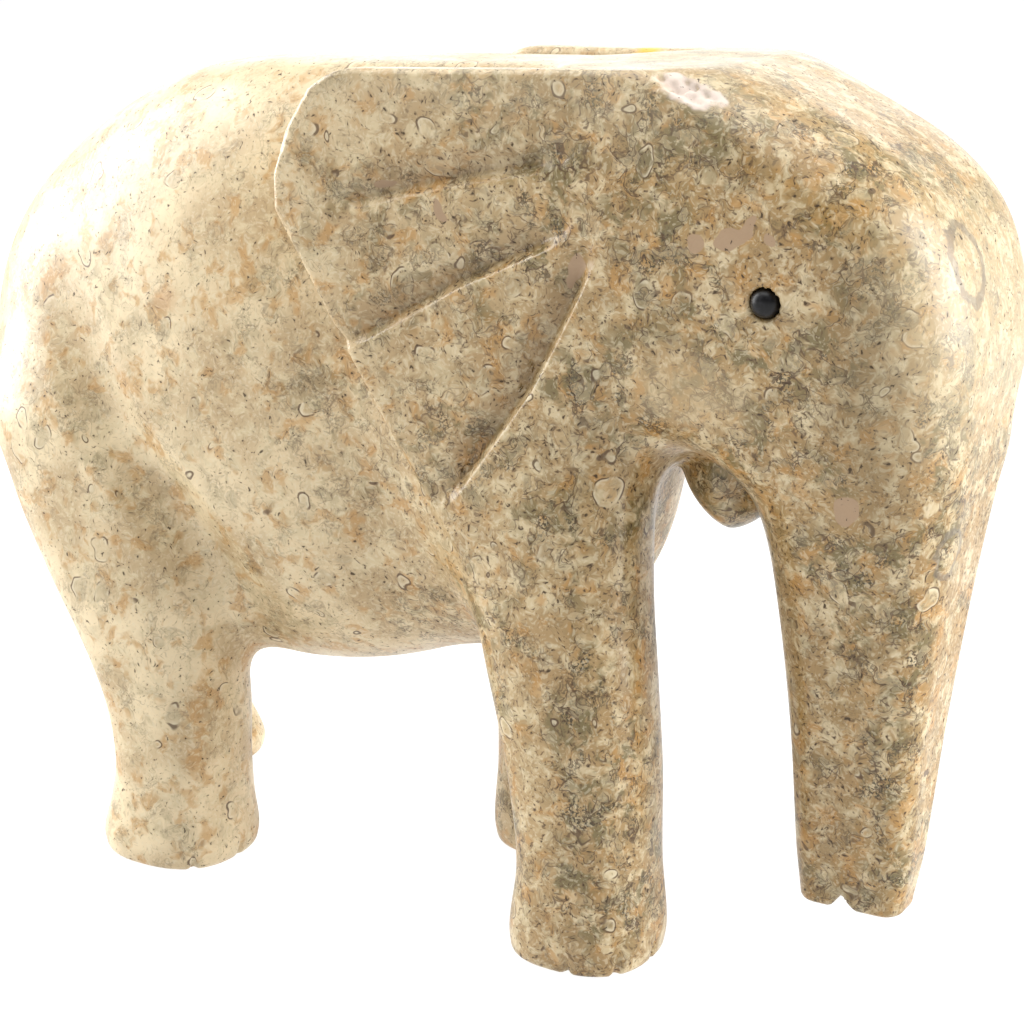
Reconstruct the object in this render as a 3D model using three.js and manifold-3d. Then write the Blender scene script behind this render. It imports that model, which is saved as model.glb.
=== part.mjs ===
// Stone elephant figurine: one carved block of fossil limestone and two inlaid eye beads.
// Millimetres. +X is the way the elephant walks, +Y its left side, +Z up, z = 0 under the soles.
import * as THREE from "three";
import Module from "manifold-3d";

const wasm = await Module();
wasm.setup();

const TOP = { z: 178.3, rise: 0.026 }; // flat cut top: height at x = 0, slope towards the head
const MARGIN = 11; // free room round the form
const CELL = 6.2; // size of a facet of the carved form
const GRID_SHIFT = 2.4; // where the first facet starts within the room
const JUST_INSIDE = -0.01; // value of a grid point that is filled to join two sheets
const EVEN_PASSES = 3; // rounds of evening out the facets
const OPEN_END = 1.5 * CELL; // how far the form runs on beyond the cuts at sole and top
const SETTLE = { steps: 3, leastSlope: 0.2, reach: CELL / 4 }; // moving a corner onto the surface

// Barrel of the body: centre, half sizes and how square it is.
const BARREL = { x: -48, y: 0, z: 111, length: 86, width: 37, height: 67, along: 1.85, across: 2.3 };
const RUMP = { x: -88, y: 0, z: 106, length: 45, width: 33, height: 51, along: 2.1, across: 2.2 };
const CHEST = { x: 9, y: 0, z: 100, length: 26, width: 31, height: 42, along: 2.2, across: 2.4 };
const NECK = { x: 22, y: 0, z: 138, length: 52, width: 33.5, height: 33, along: 2.6, across: 3.4 };
const SPINE = { x: 0, y: 0, z: 140, length: 78, width: 28, height: 41, along: 2.8, across: 2.4 };
const JAW = { x: 53, y: 0, z: 100, length: 10, width: 12, height: 13, along: 2, across: 2.2 };

// Head and trunk by height: rear x, front x, half width, corner radius.
const FACE = [
  [-6, 71, 91.8, 5.6, 4],
  [10, 70.6, 92.3, 6, 4],
  [23, 69.6, 94.2, 8.5, 5.5],
  [50, 68.6, 96.4, 13.5, 8],
  [76, 65.9, 99.4, 18, 11],
  [92, 63, 101.6, 22, 14],
  [100, 59, 102.8, 24.5, 15.5],
  [107, 50, 104, 27, 17],
  [114, 38, 104.4, 29.5, 19],
  [126, 26, 105.6, 32, 20.5],
  [140, 20, 104.2, 34, 22],
  [152, 20, 99.8, 35, 22],
  [163, 20, 91, 35, 23],
  [172, 20, 79.6, 35, 24],
  [186, 20, 54, 34.5, 24],
];

// Legs by height: centre x, centre y, half length, half width. The right pair is a step ahead.
const FRONT_RIGHT = [
  [0, 33, -26, 14.8, 14.6],
  [6, 33.2, -26, 15.4, 15.3],
  [20, 33.4, -26, 14.1, 14.4],
  [40, 32, -26, 15.2, 14.6],
  [58, 29, -25.5, 16.8, 14.6],
  [76, 25, -24, 18.8, 14.8],
  [98, 18, -22, 25, 15.6],
  [116, 11, -18.5, 31, 15],
  [144, 10, -14, 22, 11],
];
const FRONT_LEFT = [
  [0, 2, 21.2, 14.6, 14.4],
  [6, 2, 21.2, 15.4, 15.2],
  [20, 1.6, 21.4, 14.3, 14.4],
  [40, 1.4, 21.8, 14.8, 14.4],
  [58, 1, 22.2, 15.8, 14.5],
  [76, 1, 22.5, 17.6, 14.8],
  [98, 5, 22, 24.5, 15.6],
  [116, 9, 18.5, 31, 15],
  [144, 10, 14, 22, 11],
];
const REAR_RIGHT = [
  [0, -72, -26, 15.8, 15],
  [5, -72, -26, 16.8, 15.8],
  [13, -71.3, -26, 15.2, 14.8],
  [22, -70.7, -26, 14.4, 14.2],
  [34, -71.8, -25.5, 15.6, 14.4],
  [46, -75, -25, 18, 15],
  [64, -81.5, -23.5, 23.6, 16],
  [82, -87, -21, 28.6, 17.5],
  [104, -89.5, -18, 31.5, 17.4],
  [130, -76, -12, 14, 9],
];
const REAR_LEFT = [
  [0, -105, 21.5, 15.8, 15],
  [5, -105, 21.5, 16.8, 15.8],
  [13, -107.5, 21.8, 14.6, 14.8],
  [22, -110, 22, 13.8, 14.2],
  [34, -111, 22, 14.4, 14.4],
  [46, -109.5, 22, 16.4, 15],
  [64, -103, 22, 21, 16],
  [82, -95, 20, 28, 17.5],
  [104, -88, 18, 28, 17],
  [130, -76, 12, 14, 9],
];
const LEGS = [FRONT_RIGHT, FRONT_LEFT, REAR_RIGHT, REAR_LEFT];
const LEG_SQUARENESS = 2.5;
const LEG_BLEND = 8; // how softly a leg runs into the body
const FACE_STEEPNESS = 0.9; // allows for the tapering sides of the head and trunk
const BODY_BLEND = 12;
const RUMP_BLEND = 5;
const SPINE_BLEND = 5;
const FACE_BLEND = 7;
const JAW_BLEND = 3;

// Tail in low relief on the rump: points and radii.
const TAIL = [
  [-130, 0, 122, 3],
  [-134, 0, 110, 5],
  [-131, 0, 92, 4.4],
  [-123, 0, 76, 3.6],
  [-117, 0, 66, 4.4],
];
const TAIL_BLEND = 4;

// Box that holds the whole form, and the height up to which it is worked out.
const WIDEST = Math.max(BARREL.width, ...LEGS.flat().map(([, , y, , half]) => Math.abs(y) + half));
const REARMOST = Math.min(
  BARREL.x - BARREL.length,
  RUMP.x - RUMP.length,
  ...TAIL.map(([x, , , radius]) => x - radius),
);
const FOREMOST = Math.max(...FACE.map(([, , front]) => front));
const ROOM = { x: [REARMOST - MARGIN, FOREMOST + MARGIN], y: [-WIDEST - MARGIN, WIDEST + MARGIN] };
const CEILING = TOP.z + TOP.rise * ROOM.x[1];

// Ear flaps: outline in x and z, from the root at the top round the free rear edge to the lobe.
const EAR = [
  [46, CEILING + CELL],
  [-13, CEILING + CELL],
  [-16, 178.5],
  [-23, 174],
  [-28, 166],
  [-31, 157],
  [-31, 150],
  [-16, 123.8],
  [-6, 107.2],
  [10, 84],
  [32, 104],
  [44, 140],
];
const EAR_MIDDLE = { x: 8, z: 145 };
const EAR_ROOT = { x: 46, y: 33.4 }; // where the outer face leaves the head
const EAR_FLARE = 0.1; // how much further out it stands per millimetre back
const EAR_THICKNESS = 7.5;
const EAR_CHAMFER = 1;

// V-cut grooves of the ears: path in x and z, width of the long and the short wall, depth.
const GROOVES = [
  { path: [[-17, 152], [6, 158], [30, 162.5]], long: 3.2, short: 1.6, depth: 1.8 },
  { path: [[-15, 125], [8, 138.5], [30.5, 149]], long: 3.4, short: 1.6, depth: 2 },
  { path: [[7, 96], [23, 119], [36, 144.5]], long: 4, short: 1.6, depth: 2.4 },
];
const RUN_OUT = 0.3; // what is left of a cut's size at its ends
const TAPER = 0.3; // share of the first and last stretch of a path that runs out

// Soft crease between haunch and flank: path in x and z, with its depth at each point.
const CREASE = [
  [-94, 124, 0.6],
  [-80, 101, 2.8],
  [-67, 86, 3.2],
  [-57, 73, 2.8],
  [-48, 59, 1],
];
const CREASE_HALF = 11;
const CREASE_FADE = { inner: 12, outer: 24 }; // from the middle plane, where it sets in

// Toe notches: angles from the front of the foot, in degrees.
const FRONT_TOES = [-80, -40, 0, 40, 80];
const REAR_TOES = [0, 44];
const TOE_HALF_WIDTH = 1.1;
const TOE_DEPTH = 1.6;
const TOE_HEIGHT = 4.5;
const TOE_SPILL = 2; // how far a toe cutter stands out of the foot

// Slot across the tip of the trunk.
const TIP_Z = 11;
const TIP_ROOM = { x0: 66, x1: 104, half: 20 };
const TIP_SLOT = { x: 80.6, half: 3.7, height: 3.6, below: 2 };

// Eye beads.
const EYE = { x: 71.8, z: 139.2, radius: 2.8, sunk: 1.1, clearance: 0.3 };
const BALL = { turns: 16, rows: 9, pole: 0.04 }; // facets of a ball, share of a half turn in its flat ends

const STONE_COLOUR = 0xcbb894;
const BEAD_COLOUR = 0x0a0a0c;
const REACH = 40; // room for cutters beyond the form
const CUT_RISE = 0.8; // how far a V cutter stands out of the skin
const PROBE_STEP = 0.05; // how finely the surface is looked for
const WELD = 0.02; // corners nearer than this are one
const FAR = 1e3;

// Smallest of two distances, with their meeting rounded over k.
function blend(a, b, k) {
  const h = Math.max(k - Math.abs(a - b), 0) / k;
  return Math.min(a, b) - h * h * k * 0.25;
}

// Row of a table at t, eased between its stations.
function rowAt(table, t) {
  const last = table.length - 1;
  if (t <= table[0][0]) return table[0].slice(1);
  if (t >= table[last][0]) return table[last].slice(1);
  let i = 0;
  while (table[i + 1][0] < t) i += 1;
  const [a, b] = [table[i], table[i + 1]];
  const [before, after] = [table[Math.max(i - 1, 0)], table[Math.min(i + 2, last)]];
  const span = b[0] - a[0];
  const s = (t - a[0]) / span;
  return a.slice(1).map((value, n) => {
    const k = n + 1;
    const slopeA = ((b[k] - before[k]) / (b[0] - before[0])) * span;
    const slopeB = ((after[k] - a[k]) / (after[0] - a[0])) * span;
    const cubic = 2 * (value - b[k]) + slopeA + slopeB;
    const square = 3 * (b[k] - value) - 2 * slopeA - slopeB;
    return ((cubic * s + square) * s + slopeA) * s + value;
  });
}

// Distance to a swollen block given by half sizes and two squareness powers.
function block(part, x, y, z) {
  const dx = Math.abs(x - part.x) / part.length;
  const dy = Math.abs(y - part.y) / part.width;
  const dz = Math.abs(z - part.z) / part.height;
  const ring = (dy ** part.across + dz ** part.across) ** (1 / part.across);
  const size = (dx ** part.along + ring ** part.along) ** (1 / part.along);
  const u = Math.abs(x - part.x) / part.length ** 2;
  const v = Math.abs(y - part.y) / part.width ** 2;
  const w = Math.abs(z - part.z) / part.height ** 2;
  const steep = Math.hypot(u, v, w) / Math.max(Math.hypot(dx, dy, dz), 1e-6);
  return (size - 1) / Math.max(steep, 1 / part.length);
}

// Distance to a leg, a squarish column that follows its table.
function leg(table, x, y, z) {
  const [cx, cy, a, b] = rowAt(table, z);
  const n = LEG_SQUARENESS;
  const size = ((Math.abs(x - cx) / a) ** n + (Math.abs(y - cy) / b) ** n) ** (1 / n);
  const side = (size - 1) * Math.min(a, b);
  return Math.max(side, z - table[table.length - 1][0]);
}

// Distance to the head and trunk, a rounded box that follows its table.
function face(x, y, z) {
  const [rear, front, half, corner] = rowAt(FACE, z);
  const qx = Math.abs(x - (rear + front) / 2) - ((front - rear) / 2 - corner);
  const qy = Math.abs(y) - (half - corner);
  const outside = Math.hypot(Math.max(qx, 0), Math.max(qy, 0));
  const side = outside + Math.min(Math.max(qx, qy), 0) - corner;
  return side * FACE_STEEPNESS;
}

// Distance to a chain of tapering rods.
function chain(points, p) {
  let nearest = FAR;
  for (let i = 0; i + 1 < points.length; i += 1) {
    const [a, b] = [points[i], points[i + 1]];
    let [dot, length] = [0, 0];
    p.forEach((value, k) => {
      dot += (value - a[k]) * (b[k] - a[k]);
      length += (b[k] - a[k]) ** 2;
    });
    const s = Math.min(Math.max(dot / length, 0), 1);
    const away = Math.hypot(...p.map((value, k) => value - a[k] - s * (b[k] - a[k])));
    nearest = Math.min(nearest, away - a[3] - s * (b[3] - a[3]));
  }
  return nearest;
}

// Depth of the crease between haunch and flank.
function crease(x, y, z) {
  let depth = 0;
  for (let i = 0; i + 1 < CREASE.length; i += 1) {
    const [ax, az, from] = CREASE[i];
    const [bx, bz, to] = CREASE[i + 1];
    const length = (bx - ax) ** 2 + (bz - az) ** 2;
    const s = Math.min(Math.max(((x - ax) * (bx - ax) + (z - az) * (bz - az)) / length, 0), 1);
    const away = Math.hypot(x - ax - s * (bx - ax), z - az - s * (bz - az)) / CREASE_HALF;
    if (away < 1) depth = Math.max(depth, (from + s * (to - from)) * (1 - away * away) ** 2);
  }
  const { inner, outer } = CREASE_FADE;
  return depth * Math.min(Math.max((Math.abs(y) - inner) / (outer - inner), 0), 1);
}

// Signed distance to the whole carved form, before the cuts.
function form(x, y, z) {
  let d = block(BARREL, x, y, z);
  d = blend(d, block(RUMP, x, y, z), RUMP_BLEND);
  d = blend(d, block(CHEST, x, y, z), BODY_BLEND);
  d = blend(d, block(NECK, x, y, z), BODY_BLEND);
  d = blend(d, block(SPINE, x, y, z), SPINE_BLEND);
  d = blend(d, face(x, y, z), FACE_BLEND);
  d = blend(d, block(JAW, x, y, z), JAW_BLEND);
  for (const table of LEGS) d = blend(d, leg(table, x, y, z), LEG_BLEND);
  return blend(d, chain(TAIL, [x, y, z]), TAIL_BLEND) + crease(x, y, z);
}

function slopeAt(x, y, z) {
  const e = PROBE_STEP;
  return [
    (form(x + e, y, z) - form(x - e, y, z)) / (2 * e),
    (form(x, y + e, z) - form(x, y - e, z)) / (2 * e),
    (form(x, y, z + e) - form(x, y, z - e)) / (2 * e),
  ];
}

// Point moved onto the surface, unless it lies beyond the cuts at sole and top.
function settled(point) {
  let p = point;
  if (p[2] < -CELL || p[2] > CEILING + CELL) return p;
  const { steps, leastSlope, reach } = SETTLE;
  for (let step = 0; step < steps; step += 1) {
    const slope = slopeAt(...p);
    const steep = Math.max(slope.reduce((sum, v) => sum + v * v, 0), leastSlope);
    const move = Math.min(Math.max(form(...p) / steep, -reach), reach);
    p = p.map((v, n) => v - move * slope[n]);
  }
  return p;
}

// Corners moved towards the middle of their neighbours and back onto the surface.
function evenOut(corners, triangles) {
  const near = corners.map(() => new Set());
  for (let t = 0; t < triangles.length; t += 3)
    for (let k = 0; k < 3; k += 1) {
      const [a, b] = [triangles[t + k], triangles[t + ((k + 1) % 3)]];
      near[a].add(b);
      near[b].add(a);
    }
  const moved = corners.map((p, i) => {
    const mean = [0, 0, 0];
    near[i].forEach((j) => corners[j].forEach((v, n) => (mean[n] += v / near[i].size)));
    return settled(p.map((v, n) => (v + mean[n]) / 2));
  });
  moved.forEach((p, i) => (corners[i] = p));
}

// Fills the grid where points inside the form only meet across a cell's side, which would let two
// sheets of the surface share an edge.
function joinSheets(value, count, at) {
  let filled = true;
  while (filled) {
    filled = false;
    for (let axis = 0; axis < 3; axis += 1) {
      const [u, v] = [(axis + 1) % 3, (axis + 2) % 3];
      const point = [0, 0, 0];
      for (point[2] = 0; point[2] < count[2] - (axis !== 2); point[2] += 1)
        for (point[1] = 0; point[1] < count[1] - (axis !== 1); point[1] += 1)
          for (point[0] = 0; point[0] < count[0] - (axis !== 0); point[0] += 1) {
            const side = [[0, 0], [1, 0], [1, 1], [0, 1]].map(([du, dv]) => {
              const p = point.slice();
              p[u] += du;
              p[v] += dv;
              return at(...p);
            });
            const [a, b, c, d] = side.map((p) => value[p] < 0);
            if (a !== c || b !== d || a === b) continue;
            const [p, q] = a ? [side[1], side[3]] : [side[0], side[2]];
            value[value[p] < value[q] ? p : q] = JUST_INSIDE;
            filled = true;
          }
    }
  }
}

// Closed facets over the form: one corner in each cell that the surface crosses.
function facets() {
  const low = [ROOM.x[0] + GRID_SHIFT, ROOM.y[0] + GRID_SHIFT, -3 * CELL];
  const high = [ROOM.x[1], ROOM.y[1], CEILING + 3 * CELL];
  const count = low.map((v, k) => Math.ceil((high[k] - v) / CELL) + 1);
  const at = (i, j, k) => (k * count[1] + j) * count[0] + i;
  const value = new Float64Array(count[0] * count[1] * count[2]);
  const place = (i, j, k) => [low[0] + i * CELL, low[1] + j * CELL, low[2] + k * CELL];
  for (let k = 0; k < count[2]; k += 1)
    for (let j = 0; j < count[1]; j += 1)
      for (let i = 0; i < count[0]; i += 1) {
        const [x, y, z] = place(i, j, k);
        value[at(i, j, k)] = Math.max(form(x, y, z), -OPEN_END - z, z - CEILING - OPEN_END);
      }
  joinSheets(value, count, at);
  const corners = [];
  const cornerOf = new Map();
  for (let k = 0; k + 1 < count[2]; k += 1)
    for (let j = 0; j + 1 < count[1]; j += 1)
      for (let i = 0; i + 1 < count[0]; i += 1) {
        const sum = [0, 0, 0];
        let crossings = 0;
        for (let axis = 0; axis < 3; axis += 1)
          for (let side = 0; side < 4; side += 1) {
            const a = [0, 0, 0];
            a[(axis + 1) % 3] = side & 1;
            a[(axis + 2) % 3] = side >> 1;
            const b = a.slice();
            b[axis] = 1;
            const va = value[at(i + a[0], j + a[1], k + a[2])];
            const vb = value[at(i + b[0], j + b[1], k + b[2])];
            if (va < 0 === vb < 0) continue;
            const s = va / (va - vb);
            a.forEach((step, n) => (sum[n] += step + s * (b[n] - step)));
            crossings += 1;
          }
        if (!crossings) continue;
        corners.push(settled(place(i, j, k).map((v, n) => v + (sum[n] / crossings) * CELL)));
        cornerOf.set(at(i, j, k), corners.length - 1);
      }
  const triangles = [];
  const gap = (a, b) => Math.hypot(...corners[a].map((v, n) => v - corners[b][n]));
  for (let k = 1; k < count[2]; k += 1)
    for (let j = 1; j < count[1]; j += 1)
      for (let i = 1; i < count[0]; i += 1)
        for (let axis = 0; axis < 3; axis += 1) {
          const next = [i, j, k];
          next[axis] += 1;
          if (next[axis] >= count[axis]) continue;
          const [va, vb] = [value[at(i, j, k)], value[at(...next)]];
          if (va < 0 === vb < 0) continue;
          const [u, v] = [(axis + 1) % 3, (axis + 2) % 3];
          const quad = [[1, 1], [0, 1], [0, 0], [1, 0]].map(([du, dv]) => {
            const c = [i, j, k];
            c[u] -= du;
            c[v] -= dv;
            return cornerOf.get(at(...c));
          });
          if (vb < 0) quad.reverse();
          const [a, b, c, d] = quad;
          if (gap(a, c) < gap(b, d)) triangles.push(a, b, c, a, c, d);
          else triangles.push(a, b, d, b, c, d);
        }
  for (let pass = 0; pass < EVEN_PASSES; pass += 1) evenOut(corners, triangles);
  return { corners, triangles };
}

// Closed solid from corner points and triangles.
function solid(corners, triangles) {
  return new wasm.Manifold(
    new wasm.Mesh({
      numProp: 3,
      vertProperties: Float32Array.from(corners.flat()),
      triVerts: Uint32Array.from(triangles),
    }),
  );
}

// Closed solid through rings of the same number of points, facing out whichever way they run.
function ringed(rings) {
  const n = rings[0].length;
  const corners = rings.flat();
  const triangles = [];
  for (let r = 0; r + 1 < rings.length; r += 1)
    for (let i = 0; i < n; i += 1) {
      const [a, b] = [r * n + i, r * n + ((i + 1) % n)];
      triangles.push(a, b, b + n, a, b + n, a + n);
    }
  const end = (rings.length - 1) * n;
  for (let i = 1; i + 1 < n; i += 1) triangles.push(0, i + 1, i, end, end + i, end + i + 1);
  let volume = 0;
  for (let t = 0; t < triangles.length; t += 3) {
    const [p, q, r] = [0, 1, 2].map((k) => new THREE.Vector3(...corners[triangles[t + k]]));
    volume += p.dot(q.cross(r));
  }
  return solid(corners, volume > 0 ? triangles : triangles.slice().reverse());
}

function box(x0, x1, y0, y1, z0, z1) {
  return ringed([z0, z1].map((z) => [[x0, y0, z], [x1, y0, z], [x1, y1, z], [x0, y1, z]]));
}

// Distance from the middle plane to the surface at x and z, on one side.
function surfaceY(x, z, side) {
  let y = ROOM.y[1];
  while (y > 0 && form(x, side * y, z) > 0) y -= PROBE_STEP;
  return y;
}

// How far out the outer face of an ear flap stands at x.
function earFace(x) {
  return EAR_ROOT.y + EAR_FLARE * (EAR_ROOT.x - x);
}

// Ear flap as a chamfered slab that stands further out towards its free edge.
function earFlap(side) {
  const layer = (inset, depth) =>
    EAR.map(([x, z]) => {
      const [dx, dz] = [EAR_MIDDLE.x - x, EAR_MIDDLE.z - z];
      const s = inset / Math.hypot(dx, dz);
      return [x + s * dx, side * (earFace(x) - depth), z + s * dz];
    });
  return ringed([layer(0, EAR_THICKNESS), layer(0, EAR_CHAMFER), layer(EAR_CHAMFER, 0)]);
}

// Path with a further point close to either end.
function tapered(path) {
  const between = (a, b) => a.map((v, n) => v + (b[n] - v) * TAPER);
  const last = path.length - 1;
  const first = between(path[0], path[1]);
  return [path[0], first, ...path.slice(1, last), between(path[last], path[last - 1]), path[last]];
}

// Cutter for a V cut along a path, its long wall on the left of the path, running out at both ends.
function groove(cut, side) {
  const path = tapered(cut.path);
  const last = path.length - 1;
  const rings = path.map(([x, z], i) => {
    const [before, after] = [path[Math.max(i - 1, 0)], path[Math.min(i + 1, last)]];
    const run = [after[0] - before[0], after[1] - before[1]];
    const length = Math.hypot(...run);
    const left = [-run[1] / length, run[0] / length];
    const scale = i === 0 || i === last ? RUN_OUT : 1;
    const y = Math.max(surfaceY(x, z, side), earFace(x));
    const spread = scale + CUT_RISE / cut.depth;
    const at = (w, out) => [x + left[0] * w, side * (y + out), z + left[1] * w];
    return [
      at(cut.long * spread, CUT_RISE),
      at(-cut.short * spread, CUT_RISE),
      at(0, -cut.depth * scale),
    ];
  });
  return ringed(rings);
}

// Cutter for a toe notch at an angle round a foot.
function toe(table, degrees) {
  const [, cx, cy, a, b] = table[1];
  const turn = THREE.MathUtils.degToRad(degrees);
  const [c, s] = [Math.cos(turn), Math.sin(turn)];
  const n = LEG_SQUARENESS;
  const reach = ((Math.abs(c) / a) ** n + (Math.abs(s) / b) ** n) ** (-1 / n);
  const ring = (z, half, depth) => {
    const at = (r, w) => [cx + c * r - s * w, cy + s * r + c * w, z];
    return [at(reach - depth, 0), at(reach + TOE_SPILL, half * 2), at(reach + TOE_SPILL, -half * 2)];
  };
  const runOut = -TOE_SPILL / 2;
  const foot = ring(runOut, TOE_HALF_WIDTH, TOE_DEPTH - runOut);
  return ringed([foot, ring(TOE_HEIGHT, TOE_HALF_WIDTH / 2, runOut)]);
}

// Ball of a given radius, as rings from its lower pole to its upper one.
function ball(x, y, z, radius) {
  const { turns, rows, pole } = BALL;
  const rings = [];
  for (let r = 0; r <= rows; r += 1) {
    const tilt = Math.PI * (pole + ((1 - 2 * pole) * r) / rows);
    rings.push(
      Array.from({ length: turns }, (_, i) => {
        const turn = (2 * Math.PI * i) / turns;
        const out = radius * Math.sin(tilt);
        return [x + out * Math.cos(turn), y + out * Math.sin(turn), z - radius * Math.cos(tilt)];
      }),
    );
  }
  return ringed(rings);
}

function carvedStone() {
  const { corners, triangles } = facets();
  let stone = solid(corners, triangles).add(earFlap(-1)).add(earFlap(1));
  const [back, ahead, aside] = [ROOM.x[0] - REACH, ROOM.x[1] + REACH, ROOM.y[1] + REACH];
  const above = (x, y, up) => [x, y, TOP.z + TOP.rise * x + up];
  stone = stone.subtract(box(back, ahead, -aside, aside, -REACH, 0));
  stone = stone.subtract(ringed([0, REACH].map((up) =>
    [above(back, -aside, up), above(ahead, -aside, up), above(ahead, aside, up), above(back, aside, up)])));
  for (const side of [-1, 1]) {
    for (const cut of GROOVES) stone = stone.subtract(groove(cut, side));
    const y = surfaceY(EYE.x, EYE.z, side) - EYE.sunk;
    stone = stone.subtract(ball(EYE.x, side * y, EYE.z, EYE.radius + EYE.clearance));
  }
  for (const table of [FRONT_RIGHT, FRONT_LEFT])
    for (const angle of FRONT_TOES) stone = stone.subtract(toe(table, angle));
  for (const table of [REAR_RIGHT, REAR_LEFT])
    for (const angle of REAR_TOES) stone = stone.subtract(toe(table, table === REAR_RIGHT ? -angle : angle));
  const slot = [-1, 1].map((side) => {
    const y = side * REACH;
    const { x, half, height, below } = TIP_SLOT;
    return [[x - half, y, TIP_Z - below], [x + half, y, TIP_Z - below], [x, y, TIP_Z + height]];
  });
  const { x0, x1, half } = TIP_ROOM;
  return stone.subtract(box(x0, x1, -half, half, -1, TIP_Z)).subtract(ringed(slot));
}

function bead(side) {
  const y = surfaceY(EYE.x, EYE.z, side) - EYE.sunk;
  return ball(EYE.x, side * y, EYE.z, EYE.radius);
}

// Corners and triangles of a solid, with corners that all but touch made one.
function welded(shape) {
  const { vertProperties, triVerts, numProp } = shape.getMesh();
  const corners = [];
  for (let i = 0; i < vertProperties.length; i += numProp)
    corners.push(Array.from(vertProperties.slice(i, i + 3)));
  const same = corners.map((_, i) => i);
  const rootOf = (i) => (same[i] === i ? i : (same[i] = rootOf(same[i])));
  for (let t = 0; t < triVerts.length; t += 3)
    for (let k = 0; k < 3; k += 1) {
      const [a, b] = [rootOf(triVerts[t + k]), rootOf(triVerts[t + ((k + 1) % 3)])];
      if (a !== b && Math.hypot(...corners[a].map((v, n) => v - corners[b][n])) < WELD) same[b] = a;
    }
  const index = [];
  for (let t = 0; t < triVerts.length; t += 3) {
    const [a, b, c] = [0, 1, 2].map((k) => rootOf(triVerts[t + k]));
    if (a !== b && b !== c && c !== a) index.push(a, b, c);
  }
  return { corners, index };
}

function named(name, shape, colour, roughness) {
  const { corners, index } = welded(shape);
  const geometry = new THREE.BufferGeometry();
  geometry.setAttribute("position", new THREE.Float32BufferAttribute(corners.flat(), 3));
  geometry.setIndex(index);
  geometry.computeVertexNormals();
  const mesh = new THREE.Mesh(geometry, new THREE.MeshStandardMaterial({ color: colour, roughness }));
  mesh.name = name;
  return mesh;
}

const elephant = new THREE.Group();
elephant.add(
  named("stone_elephant", carvedStone(), STONE_COLOUR, 0.4),
  named("right_eye", bead(-1), BEAD_COLOUR, 0.1),
  named("left_eye", bead(1), BEAD_COLOUR, 0.1),
);
const bounds = new THREE.Box3().setFromObject(elephant);
const middle = bounds.getCenter(new THREE.Vector3());
elephant.position.set(-middle.x, -middle.y, -bounds.min.z);

export default elephant;
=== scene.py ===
# Stone elephant figurine: the carved, polished block and its two inlaid eye beads, with a pale
# floor, soft studio light and the camera. Shapes are worked out in millimetres in the carver's own
# frame and moved into the row frame at the end, where Blender's unit is the metre.
import math

import bpy
import numpy as np
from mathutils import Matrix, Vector


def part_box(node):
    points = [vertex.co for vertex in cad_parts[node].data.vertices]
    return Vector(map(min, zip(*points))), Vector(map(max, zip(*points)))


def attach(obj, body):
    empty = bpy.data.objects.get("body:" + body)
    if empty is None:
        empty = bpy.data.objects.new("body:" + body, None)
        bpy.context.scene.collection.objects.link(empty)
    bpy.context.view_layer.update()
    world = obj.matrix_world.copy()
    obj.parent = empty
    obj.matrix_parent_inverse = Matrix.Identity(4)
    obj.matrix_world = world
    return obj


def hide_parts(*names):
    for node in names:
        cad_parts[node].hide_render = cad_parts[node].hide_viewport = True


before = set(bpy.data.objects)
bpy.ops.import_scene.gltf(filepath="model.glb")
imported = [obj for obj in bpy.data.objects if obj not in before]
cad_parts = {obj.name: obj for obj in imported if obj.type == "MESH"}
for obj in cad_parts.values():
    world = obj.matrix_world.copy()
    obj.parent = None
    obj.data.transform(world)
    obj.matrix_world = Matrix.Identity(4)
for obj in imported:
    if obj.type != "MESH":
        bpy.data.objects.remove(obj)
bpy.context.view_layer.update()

MM = 0.001

# Flat cuts: the sawn top, the soles and the tip of the trunk, with their polished edges.
TOP_Z = 178.3
TOP_RISE = 0.026
TOP_EDGE = 2.2
BROW_EDGE = 26.0  # the top runs softly into the brow, over these x
BROW_FROM, BROW_TO = 38.0, 80.0
SOLE_EDGE = 2.0
TIP_Z = 11.0
TIP_EDGE = 1.6

# Swollen blocks of the body: centre, half sizes, squareness along and across.
BARREL = ((-48, 0, 111), (86, 37, 67), 1.85, 2.3)
RUMP = ((-88, 0, 106), (45, 33, 51), 2.1, 2.2)
CHEST = ((9, 0, 100), (26, 31, 42), 2.2, 2.4)
NECK = ((22, 0, 138), (52, 33.5, 33), 2.6, 3.4)
SPINE = ((0, 0, 140), (78, 28, 41), 2.8, 2.4)
JAW = ((52.5, 0, 100), (12, 12, 13.4), 1.5, 2.0)

# Head and trunk by height: rear x, front x, half width, corner radius.
FACE = (
    (-6, 71, 91.8, 5.6, 4),
    (10, 70.6, 92.3, 6, 4),
    (23, 69.6, 94.2, 8.5, 5.5),
    (50, 68.6, 96.4, 13.5, 8),
    (76, 65.9, 99.4, 18, 11),
    (92, 63, 101.6, 22, 14),
    (100, 59, 102.8, 24.5, 15.5),
    (107, 50, 104, 27, 17),
    (114, 38, 104.4, 29.5, 19),
    (126, 26, 105.6, 32, 20.5),
    (140, 20, 104.2, 34, 22),
    (152, 20, 99.8, 35, 22),
    (163, 20, 91, 35, 23),
    (172, 20, 79.6, 35, 24),
    (186, 20, 54, 34.5, 24),
)

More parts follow.
